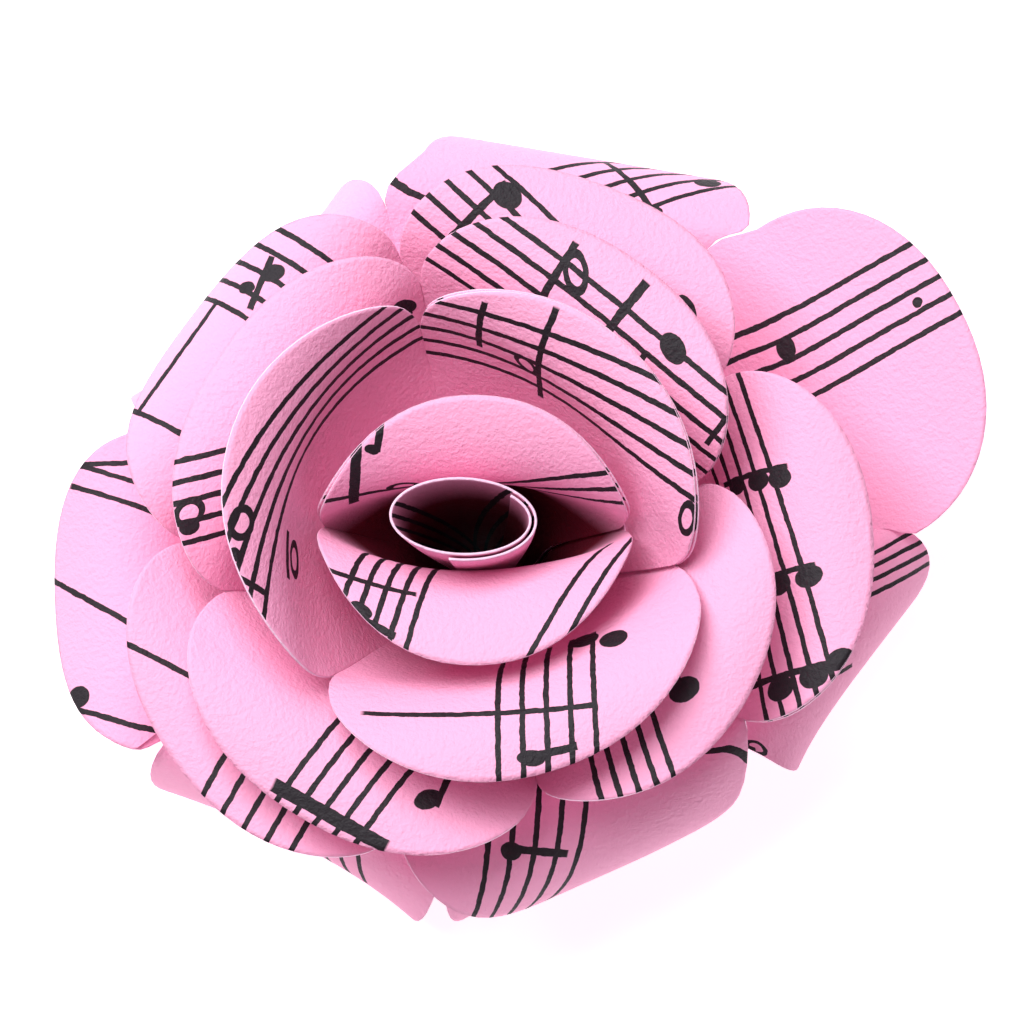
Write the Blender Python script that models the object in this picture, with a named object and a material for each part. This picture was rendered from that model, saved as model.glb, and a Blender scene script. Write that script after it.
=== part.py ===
"""Paper flower: one tightly rolled bud inside five cupped whorls of scalloped petals.

Each whorl is one sheet cut from an eight-lobed rosette.  Its sector is closed into a cone, with the
last petal glued over the first, its tip is pressed flat, and each petal is curled outwards.
All lengths below are millimetres and are turned into metres where a mesh is made.
"""
import math
from collections import namedtuple

import bpy
import numpy as np

MM = 0.001
SHEET = 0.25                    # thickness of the card, with its coat of glue
GAP = 0.30                      # clear space between two layers that lie on each other
LAYER = SHEET + GAP             # pitch of stacked layers
LOBES = 8                       # petals in the full rosette that each sheet is cut from
HALF_LOBE = math.pi / LOBES     # half the angle of one petal on the flat sheet
TIP_DEPTH = 7.0                 # how far the cones' common point would lie under the flower's foot
HOLE = 1.2                      # radius of the snipped centre of each sheet
ROUND_FROM, FLAT_BY = 28.0, 46.0    # the round cone below turns into flat sides between these
FLATNESS = 0.85                 # how far the sides are flattened at the mouth
HINGE = 30.0                    # distance from the rosette's centre at which petals start to open
LAP_STEP = 0.35                 # share of a petal over which the lapped end climbs on the first one

COLUMNS = 8                     # strips across one petal
WALL_ROWS = 10                  # strips from the foot to the rim
FOOT_ROWS = 2                   # strips across the pressed foot
BUD_COLUMNS, BUD_ROWS = 36, 6   # strips round and up the bud

PINK = (0.93, 0.52, 0.72, 1.0)

# length: how far the petal's end lies past the notches; opening: degrees that the petal leans out
# before its curl; curl_at: where the curl starts, from the rosette's centre; curl_radius: of the
# rolled edge; skew: degrees that the roll runs off square; swing: degrees that the end is turned;
# bulge: how far the petal's middle is pushed out by what it holds; settle: the most degrees that the
# curl turns, 0 for a curl that turns as far as its paper reaches.
Petal = namedtuple("Petal", "length opening curl_at curl_radius skew swing bulge settle",
                   defaults=(0, 0, 0, 0))
# petals: seen from above, counter-clockwise; turn: direction of the first one, degrees from +X;
# notch: distance of the notches from the rosette's centre; lean: sideways shift of the mouth;
# fullness: how pointed a lobe is; foot: the layer of the foot's stack that this sheet starts on;
# lap: the side of the first petal that the last one is glued to, 1 inside and -1 outside;
# lap_end: where across that petal the lapped one stops, 1 for its full width;
# corners: for the notch before each petal, how far it is pushed outwards and the degrees that it is
# swung round the flower.
Whorl = namedtuple("Whorl", "name turn notch lean fullness foot lap lap_end petals corners")

WHORLS = (
    Whorl("seven_petal_whorl", 184, 43.5, (1.0, 3.0), 0.5, 0, 1, 0.9, (
        Petal(12, 0, 42, 10, 0, 2, bulge=-2.5), Petal(12, 0, 36, 6, bulge=-4),
        Petal(11, 0, 36, 6, bulge=-5), Petal(14, 0, 39, 7, -3, 1, bulge=-3),
        Petal(17, 14, 70, 30, 0, -3), Petal(14, 0, 39, 8, 4, -5), Petal(13, 0, 37, 7, bulge=-3)),
        ((-3, 0), (-1, 0), (-6, 0), (-9, 9), (0, 0), (0, 0), (0, 0))),
    Whorl("five_petal_whorl", 0, 46.5, (0.5, 0.0), 0.5, 3, -1, 1.0, (
        Petal(13, 3, 46, 12), Petal(13, 0, 45, 9), Petal(14, 0, 46, 7),
        Petal(13, 6, 46, 12), Petal(11, 0, 38, 7, 12)),
        ((0, 0), (-3, 0), (0, 0), (0, 0), (0, 0))),
    Whorl("four_petal_whorl", 58, 47.5, (-1.0, 0.0), 0.5, 5, -1, 1.0, (
        Petal(14, 0, 47, 10), Petal(12, 3, 46, 10), Petal(14, 10, 46, 12),
        Petal(13, 0, 46, 10, bulge=1.5)),
        ((-4, 0), (0, 0), (0, 0), (0, 0))),
    Whorl("three_petal_whorl", 46, 48.5, (-1.0, 0.0), 0.5, 7, -1, 1.0, (
        Petal(10, 0, 48, 10, bulge=4), Petal(12, 0, 50, 12, bulge=7), Petal(14, 6, 46, 12, bulge=2)),
        ((-1.5, 3), (0, 0), (-0.5, 0))),
    Whorl("two_petal_whorl", 90, 44.5, (-1.0, 0.5), 0.8, 9, -1, 1.0, (
        Petal(12, 0, 45, 5, bulge=4.4, settle=95), Petal(14, 6, 44.5, 5, bulge=4.6, settle=95)),
        ((-1.9, 0), (-0.8, 0))),
)
BUD_LAYER = 10                  # the layer of the stack that the bud stands on

BUD_TURNS = 1.4                 # turns of the rolled strip
BUD_TOP = (7.4, 4.2)            # half width and half depth of the flattened roll at its rim
BUD_FOOT = (1.9, 1.6)           # the same at its lower end
BUD_HEIGHT = 45.5               # height of the rim above the table
BUD_LEAN = (-2.6, -0.5)         # sideways shift of the rim
BUD_TILT = 1.6                  # how much the rim's right end stands lower than its left end


def smooth(x):
    """Zero below 0, one above 1, an even S between."""
    x = np.clip(x, 0.0, 1.0)
    return x * x * (3.0 - 2.0 * x)


def turned(points, angle):
    """Points turned about the flower's axis."""
    c, s = np.cos(angle), np.sin(angle)
    x, y = points[..., 0], points[..., 1]
    return np.stack([x * c - y * s, x * s + y * c, points[..., 2]], -1)


def rim_distance(whorl, petal, q):
    """Distance of the cut edge from the rosette's centre; q runs from -1 to 1 across the petal."""
    return whorl.notch + petal.length * np.clip(1.0 - np.abs(q) ** 2.4, 0.0, 1.0) ** whorl.fullness


def cone_points(count, s, q):
    """The rolled cone, where s is the distance from its point."""
    sine = count / LOBES
    azimuth = q * math.pi / count
    return np.stack([s * sine * np.cos(azimuth), s * sine * np.sin(azimuth),
                     s * math.sqrt(1.0 - sine * sine)], -1)


def petal_points(whorl, petal, s, q):
    """One petal facing +X: a cone below, a flat side above, then an edge rolled over a rod."""
    count = len(whorl.petals)
    notch = whorl.notch
    along = s * np.cos(q * HALF_LOBE)
    across = s * np.sin(q * HALF_LOBE)
    tilt = math.tan(HALF_LOBE) / math.tan(math.pi / count) if count > 2 else 0.0
    up = np.array([tilt, 0.0, math.sqrt(1.0 - tilt * tilt)])
    inward = np.array([-up[2], 0.0, tilt])
    side = np.array([0.0, 1.0, 0.0])
    flat = up * along[..., None] + side * across[..., None]

    skew = math.radians(petal.skew)
    reach = (along - HINGE) * math.cos(skew) + across * math.sin(skew)
    offset = across * math.cos(skew) - (along - HINGE) * math.sin(skew)
    run = np.linspace(-60.0, 60.0, 2401)
    bend = math.radians(petal.opening) * smooth(run / (petal.curl_at - HINGE))
    curl = np.maximum(0.0, run - (petal.curl_at - HINGE)) / petal.curl_radius
    settle = math.radians(petal.settle)
    bend += settle * (1.0 - np.exp(-curl / settle)) if settle else curl
    step = run[1] - run[0]
    rise, fall = np.cumsum(np.cos(bend)) * step, np.cumsum(np.sin(bend)) * step
    middle = len(run) // 2
    rise, fall = rise - rise[middle], fall - fall[middle]
    roll_up = up * math.cos(skew) + side * math.sin(skew)
    roll_side = side * math.cos(skew) - up * math.sin(skew)
    curled = (HINGE * up + roll_up * np.interp(reach, run, rise)[..., None]
              - inward * np.interp(reach, run, fall)[..., None] + roll_side * offset[..., None])

    past_notch = smooth((s - notch) / 6.0)
    free = 1.0 - q ** 4 * (1.0 - past_notch)        # nothing bends where two petals join
    swing = math.radians(petal.swing) * smooth((s - notch + 14.0) / 14.0) * free
    curled = turned(curled, swing)
    pushed = petal.bulge * smooth((s - 10.0) / (notch - 10.0)) * (1.0 - q * q)
    spring = pushed[..., None] * np.array([1.0, 0.0, 0.0])
    side_wall = flat + (curled - flat) * free[..., None] + spring
    share = FLATNESS * smooth((s - ROUND_FROM) / (FLAT_BY - ROUND_FROM))
    share += (1.0 - share) * smooth((s - notch + 6.0) / 10.0) * free
    return cone_points(count, s, q) * (1.0 - share[..., None]) + side_wall * share[..., None]


def drawn_in(whorl, index, points, s, q):
    """The two corners beside a petal drawn in or out, and round the flower."""
    count = len(whorl.petals)
    before, after = whorl.corners[index % count], whorl.corners[(index + 1) % count]
    reach = smooth((s - 12.0) / (whorl.notch - 12.0))
    near, far = ((1.0 - q) / 2) ** 2 * reach, ((1.0 + q) / 2) ** 2 * reach
    radius = np.maximum(np.hypot(points[..., 0], points[..., 1]), 5.0)
    scale = 1.0 + (before[0] * near + after[0] * far) / radius
    points = points * np.stack([scale, scale, np.ones_like(scale)], -1)
    return turned(points, np.radians(before[1] * near + after[1] * far))


def whorl_grid(whorl, columns, wall_rows, foot_rows):
    """Rows of points from the snipped centre to the rim, all the way round and over the lap."""
    count = len(whorl.petals)
    level = SHEET / 2 + whorl.foot * LAYER
    sine = count / LOBES
    foot_slant = (TIP_DEPTH + level) / math.sqrt(1.0 - sine * sine)
    foot_radius = foot_slant * sine
    blocks, laps = [], []
    for index in range(count + 1):
        petal = whorl.petals[index % count]
        first = 0 if index == 0 else 1
        q = np.sin(np.linspace(-1.0, 1.0, columns + 1) * math.pi / 2)[first:]
        if index == count:
            q = (q + 1.0) * (whorl.lap_end + 1.0) / 2 - 1.0
        share = np.linspace(0.0, 1.0, wall_rows + 1)[:, None]
        s = foot_slant + share * (rim_distance(whorl, petal, q)[None, :] - foot_slant)
        wall = petal_points(whorl, petal, s, q[None, :] + 0.0 * s)
        wall = drawn_in(whorl, index, wall, s, q[None, :] + 0.0 * s)
        wall[..., 2] -= TIP_DEPTH
        radius = np.linspace(HOLE, foot_radius, foot_rows + 1)[:-1, None]
        azimuth = q[None, :] * math.pi / count
        foot = np.stack([radius * np.cos(azimuth), radius * np.sin(azimuth),
                         level + 0.0 * radius * azimuth], -1)
        block = turned(np.concatenate([foot, wall]), math.radians(whorl.turn) + 2 * math.pi * index / count)
        blocks.append(block)
        laps.append(index + 0.5 + q / 2)
    points = np.concatenate(blocks, 1)
    lean = smooth(points[..., 2] / 35.0)
    points[..., 0] += whorl.lean[0] * lean
    points[..., 1] += whorl.lean[1] * lean
    lap = smooth((np.concatenate(laps) - (count - LAP_STEP)) / LAP_STEP)
    normal = np.cross(np.gradient(points, axis=1), np.gradient(points, axis=0))
    normal /= np.linalg.norm(normal, axis=-1, keepdims=True) + 1e-12
    if normal[0, 0, 2] < 0.0:
        normal = -normal
    return points + normal * (whorl.lap * LAYER * lap)[None, :, None]


def bud_grid(level, columns, rows):
    """The rolled strip: a flattened spiral that widens upwards."""
    turn = np.linspace(0.0, BUD_TURNS, columns + 1)[None, :]
    share = np.linspace(0.0, 1.0, rows + 1)[:, None]
    azimuth = 2 * math.pi * turn - math.radians(100)
    opening = smooth(share) * 0.35 + share * 0.65
    inset = LAYER * turn
    width = BUD_FOOT[0] + (BUD_TOP[0] - BUD_FOOT[0]) * opening - inset
    depth = BUD_FOOT[1] + (BUD_TOP[1] - BUD_FOOT[1]) * opening - inset
    x = width * np.cos(azimuth) + BUD_LEAN[0] * share
    y = depth * np.sin(azimuth) + BUD_LEAN[1] * share
    z = level + share * (BUD_HEIGHT - level - BUD_TILT * x / BUD_TOP[0])
    return np.stack([x, y, z + 0.0 * x], -1)


def paper(name):
    """A sheet's own pink paper."""
    material = bpy.data.materials.new(name)
    material.use_nodes = True
    shader = material.node_tree.nodes["Principled BSDF"]
    shader.inputs["Base Color"].default_value = PINK
    shader.inputs["Roughness"].default_value = 0.85
    shader.inputs["Metallic"].default_value = 0.0
    return material


def sheet_object(name, grid):
    """A sheet of card whose middle layer is the given grid of points."""
    rows, columns = grid.shape[:2]
    corners = [(r * columns + c, r * columns + c + 1, (r + 1) * columns + c + 1, (r + 1) * columns + c)
               for r in range(rows - 1) for c in range(columns - 1)]
    mesh = bpy.data.meshes.new(name)
    mesh.from_pydata([tuple(p) for p in grid.reshape(-1, 3) * MM], [], corners)
    mesh.shade_smooth()
    mesh.materials.append(paper(name + "_paper"))
    sheet = bpy.data.objects.new(name, mesh)
    bpy.context.collection.objects.link(sheet)
    thickness = sheet.modifiers.new("card", 'SOLIDIFY')
    thickness.thickness = SHEET * MM
    thickness.offset = 0.0
    return sheet


def main():
    for old in list(bpy.data.objects):
        bpy.data.objects.remove(old)
    sheets = {whorl.name: whorl_grid(whorl, COLUMNS, WALL_ROWS, FOOT_ROWS) for whorl in WHORLS}
    sheets["rolled_bud"] = bud_grid(SHEET / 2 + BUD_LAYER * LAYER, BUD_COLUMNS, BUD_ROWS)
    outline = np.concatenate([grid.reshape(-1, 3) for grid in sheets.values()])
    middle = (outline.min(0) + outline.max(0)) / 2 * np.array([1.0, 1.0, 0.0])
    for name, grid in sheets.items():
        sheet_object(name, grid - middle)


main()
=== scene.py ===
"""Paper flower: looks.

Each whorl is one flat eight-lobed rosette of printed paper, rolled into a cone with curled petals, and
the bud is one rolled strip. The shapes are the same functions as the solids use, sampled finely. The
print is drawn on the flat sheet in millimetres: u runs across a petal and v runs outwards from its
notch line.
"""

import math
from collections import namedtuple

import bpy
import numpy as np
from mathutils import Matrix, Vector


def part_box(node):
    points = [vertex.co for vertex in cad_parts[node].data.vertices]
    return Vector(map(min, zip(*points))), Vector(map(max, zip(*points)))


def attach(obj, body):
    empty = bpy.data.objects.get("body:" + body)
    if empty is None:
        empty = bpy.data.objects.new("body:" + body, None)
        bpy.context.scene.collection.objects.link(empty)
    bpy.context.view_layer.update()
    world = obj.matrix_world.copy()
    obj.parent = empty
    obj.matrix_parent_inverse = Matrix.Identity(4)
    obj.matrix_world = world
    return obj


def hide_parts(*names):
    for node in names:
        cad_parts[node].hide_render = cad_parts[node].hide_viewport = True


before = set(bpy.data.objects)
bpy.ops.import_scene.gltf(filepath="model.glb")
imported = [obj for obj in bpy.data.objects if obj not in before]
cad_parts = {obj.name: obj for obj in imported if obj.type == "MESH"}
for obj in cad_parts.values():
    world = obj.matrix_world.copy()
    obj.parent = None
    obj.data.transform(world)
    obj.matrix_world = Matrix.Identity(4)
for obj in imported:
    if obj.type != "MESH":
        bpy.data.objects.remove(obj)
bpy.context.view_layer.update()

MM = 0.001

# ---------------------------------------------------------------- the sheets' sizes, in mm
SHEET = 0.25                    # thickness of the paper
GAP = 0.30                      # clear space between two layers that lie on each other
LAYER = SHEET + GAP             # pitch of stacked layers
LOBES = 8                       # petals in the full rosette that each sheet is cut from
HALF_LOBE = math.pi / LOBES     # half the angle of one petal on the flat sheet
LOBE_POWER = 2.4                # how square the end of a lobe is
TIP_DEPTH = 7.0                 # how far the cones' common point would lie under the flower's foot
HOLE = 1.2                      # radius of the snipped centre of each sheet
ROUND_FROM, FLAT_BY = 28.0, 46.0    # the round cone below turns into flat sides between these
FLATNESS = 0.85                 # how far the sides are flattened at the mouth
HINGE = 30.0                    # distance from the sheet's centre at which petals start to open
LAP_STEP = 0.35                 # share of a petal over which the lapped end climbs on the first one
LEAN_HEIGHT = 35.0              # height at which a whorl's sideways lean is complete
FREE_OVER = 6.0                 # past the notches, a petal's corners come free over this length
SWING_OVER = 14.0               # a petal's end turns sideways over this length, up to the notches
FLAT_BEFORE, FLAT_OVER = 6.0, 10.0  # from this far before the notches, and over this length, all flat
BULGE_FROM = 10.0               # distance from the sheet's centre at which a petal's swell starts
CORNER_FROM = 12.0              # and at which the pull on its corners starts
LEAST_RADIUS = 5.0              # nearer to the axis than this, a corner isn't pulled any harder
RUN_END, RUN_STEPS = 60.0, 2401     # reach and points of the profile that a petal is bent along

# length: how far the petal's end lies past the notches; opening: degrees that the petal leans out
# before its curl; curl_at: where the curl starts, from the sheet's centre; curl_radius: of the rolled
# edge; skew: degrees that the roll runs off square; swing: degrees that the end is turned; bulge: how
# far the petal's middle is pushed out; settle: the most degrees that the curl turns, 0 for no limit.
Petal = namedtuple("Petal", "length opening curl_at curl_radius skew swing bulge settle",
                   defaults=(0, 0, 0, 0))
# turn: direction of the first petal, degrees from +X; notch: distance of the notches from the sheet's
# centre; lean: sideways shift of the mouth; fullness: how pointed a lobe is; foot: the layer of the
# stack that the sheet starts on; lap: the side of the first petal that the last one is glued to, 1
# inside and -1 outside; lap_end: where across that petal it stops; corners: for the notch before each
# petal, how far it is pushed outwards and the degrees that it is swung round the flower.
Whorl = namedtuple("Whorl", "name turn notch lean fullness foot lap lap_end petals corners")

WHORLS = (
    Whorl("seven_petal_whorl", 184, 43.5, (1.0, 3.0), 0.5, 0, 1, 0.9, (
        Petal(12, 0, 42, 10, 0, 2, bulge=-2.5), Petal(12, 0, 36, 6, bulge=-4),
        Petal(11, 0, 36, 6, bulge=-5), Petal(14, 0, 39, 7, -3, 1, bulge=-3),
        Petal(17, 14, 70, 30, 0, -3), Petal(14, 0, 39, 8, 4, -5), Petal(13, 0, 37, 7, bulge=-3)),
        ((-3, 0), (-1, 0), (-6, 0), (-9, 9), (0, 0), (0, 0), (0, 0))),
    Whorl("five_petal_whorl", 0, 46.5, (0.5, 0.0), 0.5, 3, -1, 1.0, (
        Petal(13, 3, 46, 12), Petal(13, 0, 45, 9), Petal(14, 0, 46, 7),
        Petal(13, 6, 46, 12), Petal(11, 0, 38, 7, 12)),
        ((0, 0), (-3, 0), (0, 0), (0, 0), (0, 0))),
    Whorl("four_petal_whorl", 58, 47.5, (-1.0, 0.0), 0.5, 5, -1, 1.0, (
        Petal(14, 0, 47, 10), Petal(12, 3, 46, 10), Petal(14, 10, 46, 12),
        Petal(13, 0, 46, 10, bulge=1.5)),
        ((-4, 0), (0, 0), (0, 0), (0, 0))),
    Whorl("three_petal_whorl", 46, 48.5, (-1.0, 0.0), 0.5, 7, -1, 1.0, (
        Petal(10, 0, 48, 10, bulge=4), Petal(12, 0, 50, 12, bulge=7), Petal(14, 6, 46, 12, bulge=2)),
        ((-1.5, 3), (0, 0), (-0.5, 0))),
    Whorl("two_petal_whorl", 90, 44.5, (-1.0, 0.5), 0.8, 9, -1, 1.0, (
        Petal(12, 0, 45, 5, bulge=4.4, settle=95), Petal(14, 6, 44.5, 5, bulge=4.6, settle=95)),
        ((-1.9, 0), (-0.8, 0))),
)

BUD_LAYER = 10                  # the layer of the stack that the bud stands on
BUD_TURNS = 1.4                 # turns of the rolled strip
BUD_SEAM = math.radians(-100)   # direction of its outer end
BUD_TOP = (7.4, 4.2)            # half width and half depth of the flattened roll at its rim
BUD_FOOT = (1.9, 1.6)           # the same at its lower end
BUD_FLARE = 0.35                # share of the widening that is an S and not straight
BUD_HEIGHT = 45.5               # height of the rim above the table
BUD_LEAN = (-2.6, -0.5)         # sideways shift of the rim
BUD_TILT = 1.6                  # how much the rim's right end stands lower than its left end
BUD_LENGTH = 45.0               # length of the strip that its print is laid out on


# ---------------------------------------------------------------- how a sheet is rolled
def smooth(x):
    """Zero below 0, one above 1, an even S between."""
    x = np.clip(x, 0.0, 1.0)
    return x * x * (3.0 - 2.0 * x)


def turned(points, angle):
    """Points turned about Z, by one angle or by one angle a point."""
    c, s = np.cos(angle), np.sin(angle)
    x, y, z = points[..., 0], points[..., 1], points[..., 2]
    return np.stack([c * x - s * y, s * x + c * y, z], -1)


def rim_distance(whorl, petal, q):
    """How far the cut edge is from the centre of the flat sheet, q of the way across a petal."""
    reach = np.clip(1.0 - np.abs(q) ** LOBE_POWER, 0.0, 1.0)
    return whorl.notch + petal.length * reach ** whorl.fullness


def cone_points(count, s, q):
    """The plain round cone that the cut rosette closes into."""
    sine = count / LOBES
    azimuth = q * math.pi / count
    return np.stack([s * sine * np.cos(azimuth), s * sine * np.sin(azimuth),
                     s * math.sqrt(1.0 - sine * sine)], -1)


def petal_points(whorl, petal, s, q):
    """Points of one petal facing +X: s from the sheet's centre, q from -1 to 1 across."""
    count, notch = len(whorl.petals), whorl.notch
    along, across = s * np.cos(q * HALF_LOBE), s * np.sin(q * HALF_LOBE)
    tilt = math.tan(HALF_LOBE) / math.tan(math.pi / count) if count > 2 else 0.0
    up = np.array([tilt, 0.0, math.sqrt(1.0 - tilt * tilt)])
    inward = np.array([-up[2], 0.0, tilt])
    side = np.array([0.0, 1.0, 0.0])
    flat = up * along[..., None] + side * across[..., None]
    skew = math.radians(petal.skew)
    reach = (along - HINGE) * math.cos(skew) + across * math.sin(skew)
    offset = across * math.cos(skew) - (along - HINGE) * math.sin(skew)
    run = np.linspace(-RUN_END, RUN_END, RUN_STEPS)
    bend = math.radians(petal.opening) * smooth(run / (petal.curl_at - HINGE))
    curl = np.maximum(0.0, run - (petal.curl_at - HINGE)) / petal.curl_radius
    settle = math.radians(petal.settle)
    bend += settle * (1.0 - np.exp(-curl / settle)) if settle else curl
    step = run[1] - run[0]
    rise, fall = np.cumsum(np.cos(bend)) * step, np.cumsum(np.sin(bend)) * step
    middle = len(run) // 2
    rise, fall = rise - rise[middle], fall - fall[middle]
    roll_up = up * math.cos(skew) + side * math.sin(skew)
    roll_side = side * math.cos(skew) - up * math.sin(skew)
    curled = (HINGE * up + roll_up * np.interp(reach, run, rise)[..., None]
              - inward * np.interp(reach, run, fall)[..., None] + roll_side * offset[..., None])
    past_notch = smooth((s - notch) / FREE_OVER)
    free = 1.0 - q ** 4 * (1.0 - past_notch)        # nothing bends where two petals join
    swing = math.radians(petal.swing) * smooth((s - notch + SWING_OVER) / SWING_OVER) * free
    curled = turned(curled, swing)
    spring = petal.bulge * smooth((s - BULGE_FROM) / (notch - BULGE_FROM)) * (1.0 - q * q)
    outward = np.array([1.0, 0.0, 0.0])
    side_wall = flat + (curled - flat) * free[..., None] + spring[..., None] * outward
    share = FLATNESS * smooth((s - ROUND_FROM) / (FLAT_BY - ROUND_FROM))
    share += (1.0 - share) * smooth((s - notch + FLAT_BEFORE) / FLAT_OVER) * free
    return cone_points(count, s, q) * (1.0 - share[..., None]) + side_wall * share[..., None]


def drawn_in(whorl, index, points, s, q):
    """The two corners beside a petal drawn in or out, and round the flower."""
    count = len(whorl.petals)
    before, after = whorl.corners[index % count], whorl.corners[(index + 1) % count]
    reach = smooth((s - CORNER_FROM) / (whorl.notch - CORNER_FROM))
    near, far = ((1.0 - q) / 2) ** 2 * reach, ((1.0 + q) / 2) ** 2 * reach
    radius = np.maximum(np.hypot(points[..., 0], points[..., 1]), LEAST_RADIUS)
    scale = 1.0 + (before[0] * near + after[0] * far) / radius
    points = points * np.stack([scale, scale, np.ones_like(scale)], -1)
    return turned(points, np.radians(before[1] * near + after[1] * far))


def layout(whorl, column, row):
    """Which petal each grid point is on, q across it, its shares of wall and foot, and the foot's sizes.

    The foot's sizes are the level that it lies at, its radius on the flat sheet and its radius when
    rolled. The last petal, the lapped one, is laid out once more over the first.
    """
    count = len(whorl.petals)
    level = SHEET / 2 + whorl.foot * LAYER
    sine = count / LOBES
    foot_slant = (TIP_DEPTH + level) / math.sqrt(1.0 - sine * sine)
    place = column * (count + 1)
    index = np.minimum(place.astype(int), count)
    q = np.sin((place - index - 0.5) * math.pi)
    q = np.where(index == count, (q + 1.0) * (whorl.lap_end + 1.0) / 2 - 1.0, q)
    wall = np.clip((row - FOOT_PART) / (1.0 - FOOT_PART), 0.0, 1.0)
    foot = np.clip(row / FOOT_PART, 0.0, 1.0)
    return index, q, wall, foot, level, foot_slant, foot_slant * sine


def rolled_whorl(whorl, column, row):
    """Places of the grid's points on the rolled whorl and their flat print coordinates, in mm."""
    count = len(whorl.petals)
    index, q, wall, foot, level, foot_slant, foot_radius = layout(whorl, column, row)
    points = np.zeros(column.shape + (3,))
    flat = np.zeros(column.shape + (2,))
    for number in range(count + 1):
        petal = whorl.petals[number % count]
        on = index == number
        rim = rim_distance(whorl, petal, q[on])
        s = foot_slant + wall[on] * (rim - foot_slant)
        placed = drawn_in(whorl, number, petal_points(whorl, petal, s, q[on]), s, q[on])
        placed[:, 2] -= TIP_DEPTH
        disc = row[on] < FOOT_PART
        radius = HOLE + foot[on] * (foot_radius - HOLE)
        azimuth = q[on] * math.pi / count
        pressed = np.stack([radius * np.cos(azimuth), radius * np.sin(azimuth),
                            level + 0.0 * radius], -1)
        placed = np.where(disc[:, None], pressed, placed)
        points[on] = turned(placed, math.radians(whorl.turn) + 2 * math.pi * number / count)
        s = np.where(disc, radius * foot_slant / foot_radius, s)
        flat[on, 0] = s * np.sin(q[on] * HALF_LOBE) + TILE * (number % count)
        flat[on, 1] = s * np.cos(q[on] * HALF_LOBE) - whorl.notch
    lean = smooth(points[..., 2] / LEAN_HEIGHT)
    points[..., 0] += whorl.lean[0] * lean
    points[..., 1] += whorl.lean[1] * lean
    lap = smooth((index + 0.5 + q / 2 - (count - LAP_STEP)) / LAP_STEP)
    normal = np.cross(np.gradient(points, axis=1), np.gradient(points, axis=0))
    normal /= np.maximum(np.linalg.norm(normal, axis=-1, keepdims=True), 1e-9)
    if normal[0, 0, 2] < 0:
        normal = -normal
    return points + normal * (whorl.lap * LAYER * lap)[..., None], flat


def rolled_strip(column, row):
    """The bud: a strip rolled into a leaning, oval spiral cone."""
    turn, share = BUD_TURNS * column, row
    level = SHEET / 2 + BUD_LAYER * LAYER
    azimuth = 2 * math.pi * turn + BUD_SEAM
    opening = smooth(share) * BUD_FLARE + share * (1.0 - BUD_FLARE)
    inset = LAYER * turn
    width = BUD_FOOT[0] + (BUD_TOP[0] - BUD_FOOT[0]) * opening - inset
    depth = BUD_FOOT[1] + (BUD_TOP[1] - BUD_FOOT[1]) * opening - inset
    x = width * np.cos(azimuth) + BUD_LEAN[0] * share
    y = depth * np.sin(azimuth) + BUD_LEAN[1] * share
    z = level + share * (BUD_HEIGHT - level - BUD_TILT * x / BUD_TOP[0])
    flat = np.stack([column * BUD_LENGTH, row * (BUD_HEIGHT - level)], -1)
    return np.stack([x, y, z], -1), flat


# ---------------------------------------------------------------- sampling of the sheets
FOOT_PART = 0.04                # share of the rows that is on the pressed foot
TILE = 100.0                    # distance in u between the prints of neighbouring petals
COLUMNS_A_PETAL = 40
ROWS = 88
BUD_COLUMNS, BUD_ROWS = 220, 70


def flat_grid(name, columns, rows):
    """A flat sheet of columns by rows squares, and each vertex's place on it from 0 to 1."""
    bpy.ops.object.select_all(action="DESELECT")
    bpy.ops.mesh.primitive_grid_add(x_subdivisions=columns, y_subdivisions=rows, size=1.0)
    sheet = bpy.context.object
    sheet.name = name
    count = len(sheet.data.vertices)
    co = np.empty(count * 3)
    sheet.data.vertices.foreach_get("co", co)
    co = co.reshape(rows + 1, columns + 1, 3)
    return sheet, co[..., 0] + 0.5, co[..., 1] + 0.5


def roll(sheet, points, flat):
    """Moves the flat sheet's vertices to their rolled places and writes the print coordinates."""
    sheet.data.vertices.foreach_set("co", (points * MM).reshape(-1))
    corner = np.empty(len(sheet.data.loops), int)
    sheet.data.loops.foreach_get("vertex_index", corner)
    layer = sheet.data.uv_layers[0]
    layer.name = "print"
    uv = flat.reshape(-1, 2)[corner]
    # A face between two petals belongs to the one that it starts on: its far corners go to that tile.
    tile = np.round(uv[:, 0] / TILE).reshape(-1, 4)
    across = tile.max(1) > tile.min(1)
    uv = uv.reshape(-1, 4, 2)
    local = uv[..., 0] - tile * TILE
    local = np.where(across[:, None], np.abs(local), local)
    start = np.where(tile.max(1) - tile.min(1) > 1, tile.max(1), tile.min(1))
    uv[..., 0] = local + start[:, None] * TILE
    layer.data.foreach_set("uv", uv.reshape(-1))
    sheet.data.update()


def thicken(sheet):
    """Gives the sheet its thickness, with its inner face printed and its cut edge paler."""
    bpy.context.view_layer.objects.active = sheet
    sheet.select_set(True)
    bpy.ops.object.shade_smooth()
    shell = sheet.modifiers.new("thickness", "SOLIDIFY")
    shell.thickness = SHEET * MM
    shell.offset = 0.0
    shell.material_offset = 1
    shell.material_offset_rim = 2
    bpy.ops.object.modifier_apply(modifier=shell.name)


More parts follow.
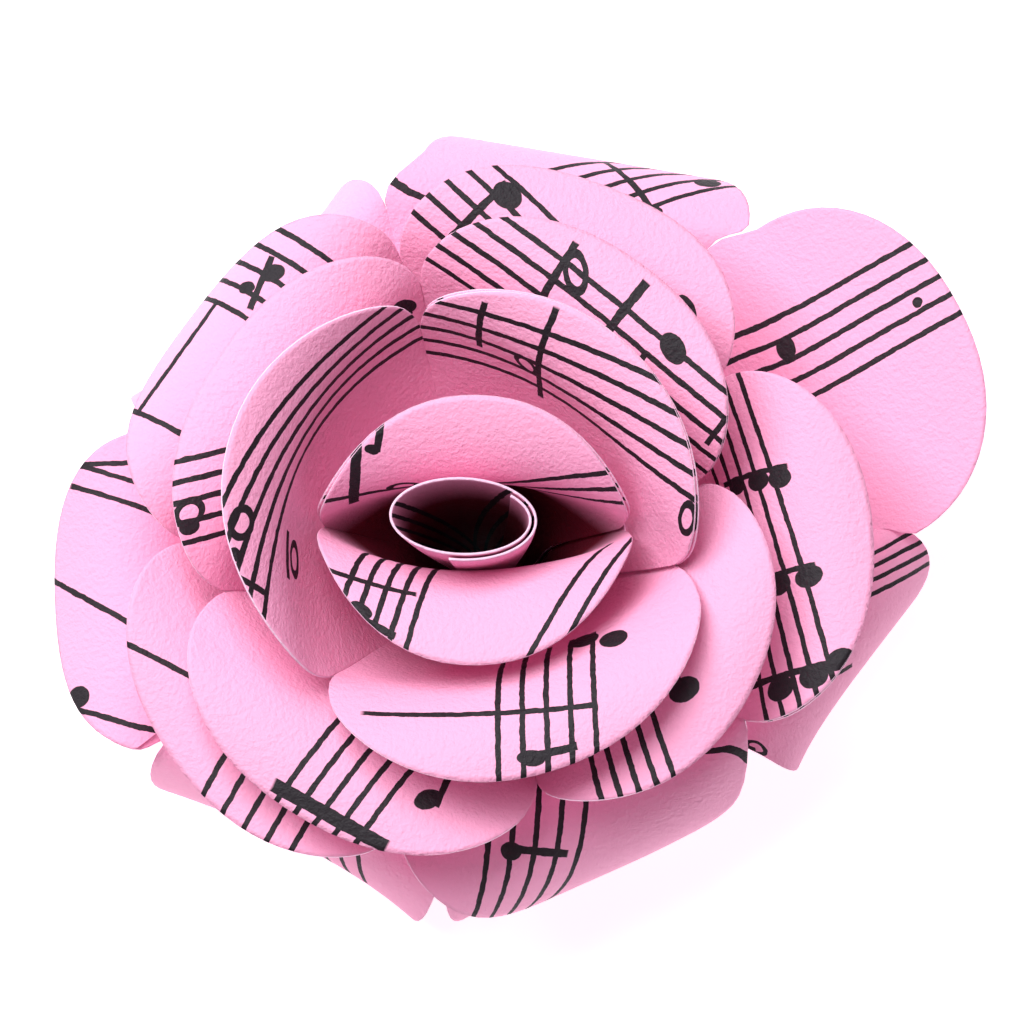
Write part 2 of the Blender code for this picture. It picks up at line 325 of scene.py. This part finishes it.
# ---------------------------------------------------------------- the paper and its print
PAPER = (0.95, 0.42, 0.62, 1.0)
PAPER_BACK = (0.94, 0.40, 0.61, 1.0)
CUT_EDGE = (0.95, 0.64, 0.80, 1.0)
INK = (0.008, 0.005, 0.008, 1.0)
# painted shade: the near-black crimson that the innermost pieces turn to in the flower's shaded hollow
PAINTED_SHADE_CRIMSON = (0.13, 0.004, 0.016, 1.0)
ROUGHNESS, SPECULAR = 0.62, 0.4
FELT = (2200.0, 3.0, 0.6)       # noise of the felt surface: scale in 1/m, detail and roughness
FIBRES = (900.0, 2.0, 0.5)      # and of the coarser fibres in it
FIBRE_SHARE = 0.5
BUMP_STRENGTH, BUMP_DEPTH = 0.85, 0.2 * MM
# Where on the sheet, in v, the painted shade of the innermost pieces starts and is full: their paper is
# darkened to near-black crimson where the flower's hollow lies in shade.
PAINTED_SHADE_SPAN = {"two_petal_whorl": (0.0, -6.5), "rolled_bud": (41.0, 31.0)}
LINE = 0.58                     # width of a printed line, in mm
WOBBLE = (0.9, 2.0)             # noise that the lines wander with: scale in 1/mm and detail
WANDER = 0.28                   # its full width, in mm
RING_MIDDLE, RING_HALF = 0.8, 0.22  # of an open note head, in its own half sizes
INK_EDGE = 0.02                 # softness of the ink's edge, as a share of the mark

# Marks on each petal, in mm and degrees: parallel lines of a stave are ("lines", u, v, angle, half
# length, count, gap). A filled note head, an open one and a straight stroke are ("head", "ring" or
# "stroke", u, v, angle, half length, half width).
PRINT = {
    "seven_petal_whorl": (
        (("lines", -10, 2, 118, 7, 2, 2.4), ("lines", -14, 5, 97, 4, 1, 2.2),
         ("lines", 2, 6, 128, 10, 1, 2.2), ("lines", 15, 2, 114, 9, 1, 2.2),
         ("head", 10.5, 9, 120, 1.3, 1.1), ("ring", -13, 0, 20, 1.6, 1.1)),
        (("lines", 1.5, 2, 62, 6, 5, 2.3),),
        (("lines", 0, 3, 95, 14, 5, 2.2), ("head", 5, 2, 20, 1.4, 1.0)),
        (("lines", 14.5, 3, 34, 7, 4, 1.6), ("ring", -16.5, 1, 20, 1.4, 1.2),
         ("stroke", -17.5, -2, 80, 3, 0.3), ("lines", -2, 4, 34, 5, 1, 2.2)),
        (("lines", 4, 7, 92, 16, 5, 2.2), ("head", 2.5, 13.5, 0, 0.55, 0.55),
         ("head", 5.5, -0.7, 20, 1.3, 1.0)),
        (("lines", -3.5, 4.5, 140, 15, 5, 2.2), ("stroke", -5, 4, 44, 5.5, 0.35),
         ("head", -12, 7.8, 150, 1.5, 1.1), ("ring", -7.5, 1, 140, 1.4, 1.0),
         ("lines", 16, -1, 20, 3.5, 1, 2.2)),
        (("lines", 2, 2, 130, 16, 5, 2.2),),
    ),
    "five_petal_whorl": (
        (("lines", 1, 0.4, 167, 24, 5, 2.0), ("head", 6, -1.8, 80, 1.3, 1.0),
         ("head", 6, 1.4, 80, 1.4, 1.1), ("head", 6, 4, 70, 1.3, 1.1),
         ("stroke", 6.8, 0.5, 85, 4.5, 0.3), ("head", -5, 2.8, 75, 1.5, 1.2),
         ("head", -4.5, 6.2, 70, 1.5, 1.1), ("stroke", -4, 3, 80, 4, 0.3),
         ("head", -15.5, 2.5, 70, 1.6, 1.2), ("head", -14.5, 6.2, 70, 1.6, 1.2),
         ("head", -13, 8.8, 60, 1.6, 1.0), ("stroke", -14, 4, 80, 6, 0.35)),
        (("lines", 9.5, 4.3, 24, 13, 5, 2.3), ("head", 9.5, 7.7, 20, 1.6, 1.35),
         ("head", -12, 3.6, 40, 1.7, 1.1), ("stroke", 12, 5, 117, 4.5, 0.4)),
        (("lines", -8, 6, 88, 12, 5, 2.4), ("head", -8.5, 8, 40, 1.3, 0.9),
         ("stroke", -7, 8.4, 165, 3, 0.35), ("head", -5.8, 9.4, 60, 0.9, 0.7),
         ("lines", 4, 11.2, 178, 7, 1, 2.2), ("lines", 10.5, 8, 83, 4.5, 1, 2.2)),
        (("lines", -8.5, 8, 153, 8, 1, 2.2), ("lines", 8, 8.2, 65, 5, 5, 2.6)),
        (("lines", -5.3, 2.6, 107, 11, 5, 2.4), ("head", -7.6, 2, 20, 1.1, 0.9),
         ("stroke", -5, 2.5, 16, 3.4, 0.4), ("lines", 16, -1.5, 30, 3.5, 1, 2.2)),
    ),
    "four_petal_whorl": (
        (("lines", 0, 5.1, 2, 22, 5, 2.1), ("stroke", 6.8, 8.2, 91, 3.6, 0.4),
         ("stroke", -1, 8.8, 97, 4, 0.5), ("head", -7.7, 9, 15, 1.8, 1.2),
         ("ring", 5.2, 9.3, 50, 2.3, 1.3), ("stroke", -5.3, 5.7, 95, 1.2, 0.35),
         ("stroke", -17, 4.8, 93, 1.6, 0.35)),
        (("lines", 12, 5.5, 43, 7, 5, 2.0), ("ring", 14.3, 6, 20, 1.8, 1.3),
         ("head", 15.4, 5.2, 40, 1.1, 0.8), ("head", -15.8, -2.6, 60, 1.8, 0.8),
         ("stroke", -14.6, -3.4, 20, 1.6, 0.4)),
        (("lines", 2.7, 6, 94, 11, 5, 2.2), ("stroke", 3, 12.3, 177, 6.4, 0.7),
         ("head", 10.3, 5.7, 120, 1.5, 1.0), ("stroke", 11, 4, 80, 2, 0.35)),
        (("lines", -12, 5.6, 129, 8, 5, 1.8), ("head", -3.5, 7, 30, 1.7, 1.2),
         ("stroke", -2.7, 5.6, 130, 2.4, 0.4)),
    ),
    "three_petal_whorl": (
        (("lines", 3, 2.8, 160, 24, 5, 2.1), ("stroke", 13.6, 1.3, 75, 3.4, 0.35),
         ("stroke", 6.8, 2, 74, 6.6, 0.35), ("ring", 7.7, 0, 20, 1.6, 1.1),
         ("ring", -16.3, 3, 60, 1.9, 1.2)),
        (("lines", -3, 4.6, 19, 22, 5, 1.85), ("ring", 7, 9.2, 30, 2.0, 1.4),
         ("ring", 8, -0.5, 12, 2.0, 1.2), ("stroke", 8, 1.5, 5, 2.4, 0.4),
         ("head", 10.3, 9.8, 0, 0.7, 0.7), ("stroke", 12.6, 8.6, 100, 2.2, 0.35)),
        (("lines", 1, 7.3, 105, 9, 5, 2.4), ("lines", -5.5, 6.3, 15, 11.5, 1, 2.2),
         ("head", 6.7, 0.7, 20, 1.6, 1.2), ("head", 9.5, 2.6, 20, 1.5, 1.2),
         ("head", -2, 12.2, 20, 1.4, 0.8), ("stroke", 0.6, 12.3, 5, 2, 0.4)),
    ),
    "two_petal_whorl": (
        (("lines", -7.5, 1.2, 158, 10, 3, 1.9), ("stroke", 12.8, 4.8, 95, 4.6, 0.55),
         ("stroke", 10.2, 9, 100, 2.0, 0.4), ("head", 11, 7.4, 30, 0.8, 0.5),
         ("lines", 12.5, 2, 11, 6, 1, 2.2), ("ring", 8, 1.6, 10, 1.8, 0.8)),
        (("lines", -9.5, 6.5, 104, 9, 5, 1.8), ("lines", -11, 6.2, 5, 4.6, 1, 2.2),
         ("head", -12, 9.5, 20, 1.2, 0.8), ("stroke", -10.5, 10.8, 20, 2.2, 0.4),
         ("lines", 11, 7.3, 124, 9, 2, 2.7)),
    ),
    "rolled_bud": (
        (("lines", 25, 30, 80, 40, 5, 1.7), ("lines", 34, 30, 72, 40, 5, 1.7),
         ("lines", 12, 30, 100, 40, 4, 2.0), ("head", 29, 34, 30, 1.8, 1.1),
         ("stroke", 31, 32, 60, 4, 0.4)),
    ),
}


class Nodes:
    """Short calls that add shader nodes and join them."""

    def __init__(self, tree):
        self.tree = tree

    def put(self, value, socket):
        """Joins a socket, or writes a constant on it."""
        if isinstance(value, bpy.types.NodeSocket):
            self.tree.links.new(value, socket)
        else:
            socket.default_value = value

    def math(self, operation, *values):
        node = self.tree.nodes.new("ShaderNodeMath")
        node.operation = operation
        for socket, value in zip(node.inputs, values):
            self.put(value, socket)
        return node.outputs[0]

    def vector(self, operation, *values):
        node = self.tree.nodes.new("ShaderNodeVectorMath")
        node.operation = operation
        for socket, value in zip(node.inputs, values):
            self.put(value, socket)
        return node.outputs["Value"] if operation == "LENGTH" else node.outputs[0]

    def placed(self, point, u, v, angle, half_length, half_width):
        """The point as a mark sees it: in the mark's own axes, and in half lengths and half widths."""
        node = self.tree.nodes.new("ShaderNodeMapping")
        node.vector_type = "TEXTURE"
        self.put(point, node.inputs["Vector"])
        node.inputs["Location"].default_value = (u, v, 0.0)
        node.inputs["Rotation"].default_value = (0.0, 0.0, math.radians(angle))
        node.inputs["Scale"].default_value = (half_length, half_width, 1.0)
        return node.outputs[0]

    def split(self, point):
        """Its x and y."""
        node = self.tree.nodes.new("ShaderNodeSeparateXYZ")
        self.put(point, node.inputs[0])
        return node.outputs[0], node.outputs[1]

    def noise(self, point, scale, detail=2.0, roughness=0.5):
        node = self.tree.nodes.new("ShaderNodeTexNoise")
        self.put(point, node.inputs["Vector"])
        node.inputs["Scale"].default_value = scale
        node.inputs["Detail"].default_value = detail
        node.inputs["Roughness"].default_value = roughness
        return node

    def ramp(self, value, from_low, from_high, to_low, to_high):
        node = self.tree.nodes.new("ShaderNodeMapRange")
        for socket, number in zip(node.inputs, (value, from_low, from_high, to_low, to_high)):
            self.put(number, socket)
        return node.outputs[0]

    def mix(self, share, first, second):
        """A colour between two; sockets 6 and 7 are the node's two colours."""
        node = self.tree.nodes.new("ShaderNodeMix")
        node.data_type = "RGBA"
        self.put(share, node.inputs["Factor"])
        self.put(first, node.inputs[6])
        self.put(second, node.inputs[7])
        return node.outputs[2]

    def mark(self, point, kind, u, v, angle, half_length, *rest):
        """Under 1 inside the mark and over 1 outside it."""
        if kind == "lines":
            count, gap = rest
            x, y = self.split(self.placed(point, u, v, angle, 1.0, 1.0))
            shift = 0.0 if count % 2 else gap / 2
            near = self.math("PINGPONG", self.math("ADD", y, shift), gap / 2)
            near = self.math("DIVIDE", near, LINE / 2)
            ends = self.math("DIVIDE", self.math("ABSOLUTE", x), half_length)
            sides = self.math("DIVIDE", self.math("ABSOLUTE", y), (count - 1) * gap / 2 + LINE)
            return self.math("MAXIMUM", near, self.math("MAXIMUM", ends, sides))
        half_width, = rest
        local = self.placed(point, u, v, angle, half_length, half_width)
        if kind == "stroke":
            x, y = self.split(local)
            return self.math("MAXIMUM", self.math("ABSOLUTE", x), self.math("ABSOLUTE", y))
        away = self.vector("LENGTH", local)
        if kind == "ring":
            off = self.math("ABSOLUTE", self.math("SUBTRACT", away, RING_MIDDLE))
            return self.math("DIVIDE", off, RING_HALF)
        return away


def paper(name, colour, marks=(), shade_span=None):
    """Soft, uncoated paper with a felt surface. marks holds one tuple of marks for each petal. The last
    argument, where given, is the span in v over which a painted shade darkens the paper to near-black
    crimson.
    """
    material = bpy.data.materials.new(name)
    material.use_nodes = True
    tree = material.node_tree
    shader = tree.nodes["Principled BSDF"]
    shader.inputs["Base Color"].default_value = colour
    shader.inputs["Roughness"].default_value = ROUGHNESS
    shader.inputs["Specular IOR Level"].default_value = SPECULAR
    add = Nodes(tree)
    coords = tree.nodes.new("ShaderNodeTexCoord").outputs["Object"]
    felt = add.noise(coords, *FELT)
    fibres = add.noise(coords, *FIBRES)
    coarse = add.math("MULTIPLY", fibres.outputs["Fac"], FIBRE_SHARE)
    height = add.math("ADD", felt.outputs["Fac"], coarse)
    bump = tree.nodes.new("ShaderNodeBump")
    bump.inputs["Strength"].default_value = BUMP_STRENGTH
    bump.inputs["Distance"].default_value = BUMP_DEPTH
    add.put(height, bump.inputs["Height"])
    add.put(bump.outputs["Normal"], shader.inputs["Normal"])
    ground = colour
    # Painted shade: the paper turns darker crimson deeper in the hollow, where shade falls.
    if shade_span:
        place = tree.nodes.new("ShaderNodeUVMap")
        place.uv_map = "print"
        depth = add.ramp(add.split(place.outputs[0])[1], shade_span[0], shade_span[1], 0.0, 1.0)
        ground = add.mix(depth, colour, PAINTED_SHADE_CRIMSON)
        add.put(ground, shader.inputs["Base Color"])
    if marks:
        sheet = tree.nodes.new("ShaderNodeUVMap")
        sheet.uv_map = "print"
        wobble = add.noise(sheet.outputs[0], *WOBBLE)
        wander = add.vector("SUBTRACT", wobble.outputs["Color"], (0.5, 0.5, 0.5))
        wander = add.vector("MULTIPLY", wander, (WANDER, WANDER, 0.0))
        point = add.vector("ADD", sheet.outputs[0], wander)
        nearest = None
        for number, petal_marks in enumerate(marks):
            for kind, u, v, *rest in petal_marks:
                found = add.mark(point, kind, u + TILE * number, v, *rest)
                nearest = found if nearest is None else add.math("MINIMUM", nearest, found)
        ink = add.ramp(nearest, 1.0 - INK_EDGE, 1.0 + INK_EDGE, 1.0, 0.0)
        add.put(add.mix(ink, ground, INK), shader.inputs["Base Color"])
    return material


back = paper("paper_back", PAPER_BACK)
cut_edge = paper("cut_edge", CUT_EDGE)


# ---------------------------------------------------------------- the six sheets
def build(name, maker, columns, rows):
    """A flat sheet with its materials, and where its points go on the flower and on the print."""
    sheet, column, row = flat_grid("paper_" + name, columns, rows)
    points, flat = maker(column, row)
    printed = paper("print_" + name, PAPER, PRINT[name], PAINTED_SHADE_SPAN.get(name))
    for material in (back, printed, cut_edge):
        sheet.data.materials.append(material)
    return sheet, points, flat


made = [build(w.name, lambda c, r, w=w: rolled_whorl(w, c, r),
              COLUMNS_A_PETAL * (len(w.petals) + 1), ROWS) for w in WHORLS]
made.append(build("rolled_bud", rolled_strip, BUD_COLUMNS, BUD_ROWS))

# The CAD's own rolled bud says where the flower's axis is.
bud_low, bud_high = (np.array(corner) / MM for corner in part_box("rolled_bud"))
bud_points = made[-1][1]
middle = (bud_points.min((0, 1)) + bud_points.max((0, 1)) - bud_low - bud_high) / 2
middle[2] = 0.0
names = [w.name for w in WHORLS] + ["rolled_bud"]
for (sheet, points, flat), name in zip(made, names):
    roll(sheet, points - middle, flat)
    thicken(sheet)
    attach(sheet, "root")
    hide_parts(name)


# ---------------------------------------------------------------- floor, light and camera
FLOOR_SIZE, FLOOR_DEPTH = 4.0, 0.0001
FLOOR_WHITE, FLOOR_GLOW = (0.9, 0.9, 0.9, 1.0), 0.7
FILL_COLOUR, FILL = (1.0, 0.74, 0.89, 1.0), 0.35    # the warm light between the petals
KEY_PLACE, KEY_AIM = (-0.25, 0.30, 0.75), (0.0, 0.0, 0.02)
KEY_SIZE, KEY_POWER, KEY_COLOUR = (0.6, 0.6), 9.8, (0.95, 0.97, 1.0)
ELEVATION = math.radians(80.0)
DISTANCE = 0.6
AIM = Vector((-0.00075, -0.0027, 0.0344))
LENS, SENSOR = 211.0, 36.0
NEAR, FAR = 0.01, 20.0


def plain(name, colour, glow):
    """Matt colour that also shines white a little."""
    material = bpy.data.materials.new(name)
    material.use_nodes = True
    shader = material.node_tree.nodes["Principled BSDF"]
    shader.inputs["Base Color"].default_value = colour
    shader.inputs["Roughness"].default_value = 0.9
    shader.inputs["Specular IOR Level"].default_value = 0.0
    shader.inputs["Emission Color"].default_value = (1.0, 1.0, 1.0, 1.0)
    shader.inputs["Emission Strength"].default_value = glow
    return material


bpy.ops.object.select_all(action="DESELECT")
bpy.ops.mesh.primitive_plane_add(size=FLOOR_SIZE, location=(0.0, 0.0, -FLOOR_DEPTH))
floor = bpy.context.object
floor.name = "floor"
floor.data.materials.append(plain("floor_white", FLOOR_WHITE, FLOOR_GLOW))

world = bpy.data.worlds.new("studio")
bpy.context.scene.world = world
world.use_nodes = True
world.node_tree.nodes["Background"].inputs["Color"].default_value = FILL_COLOUR
world.node_tree.nodes["Background"].inputs["Strength"].default_value = FILL


def softbox(name, place, aim, size, power, colour):
    """A square lamp that faces a point."""
    light = bpy.data.lights.new(name, "AREA")
    light.shape = "RECTANGLE"
    light.size, light.size_y = size
    light.energy = power
    light.color = colour
    holder = bpy.data.objects.new(name, light)
    bpy.context.scene.collection.objects.link(holder)
    holder.location = place
    holder.rotation_euler = (Vector(aim) - Vector(place)).to_track_quat("-Z", "Y").to_euler()


softbox("overhead", KEY_PLACE, KEY_AIM, KEY_SIZE, KEY_POWER, KEY_COLOUR)

camera = bpy.data.objects.new("camera", bpy.data.cameras.new("camera"))
bpy.context.scene.collection.objects.link(camera)
camera.location = AIM + DISTANCE * Vector((0.0, -math.cos(ELEVATION), math.sin(ELEVATION)))
camera.rotation_euler = (AIM - camera.location).to_track_quat("-Z", "Y").to_euler()
camera.data.lens = LENS
camera.data.sensor_width = SENSOR
camera.data.clip_start, camera.data.clip_end = NEAR, FAR
bpy.context.scene.camera = camera
bpy.context.scene.view_settings.view_transform = "Standard"
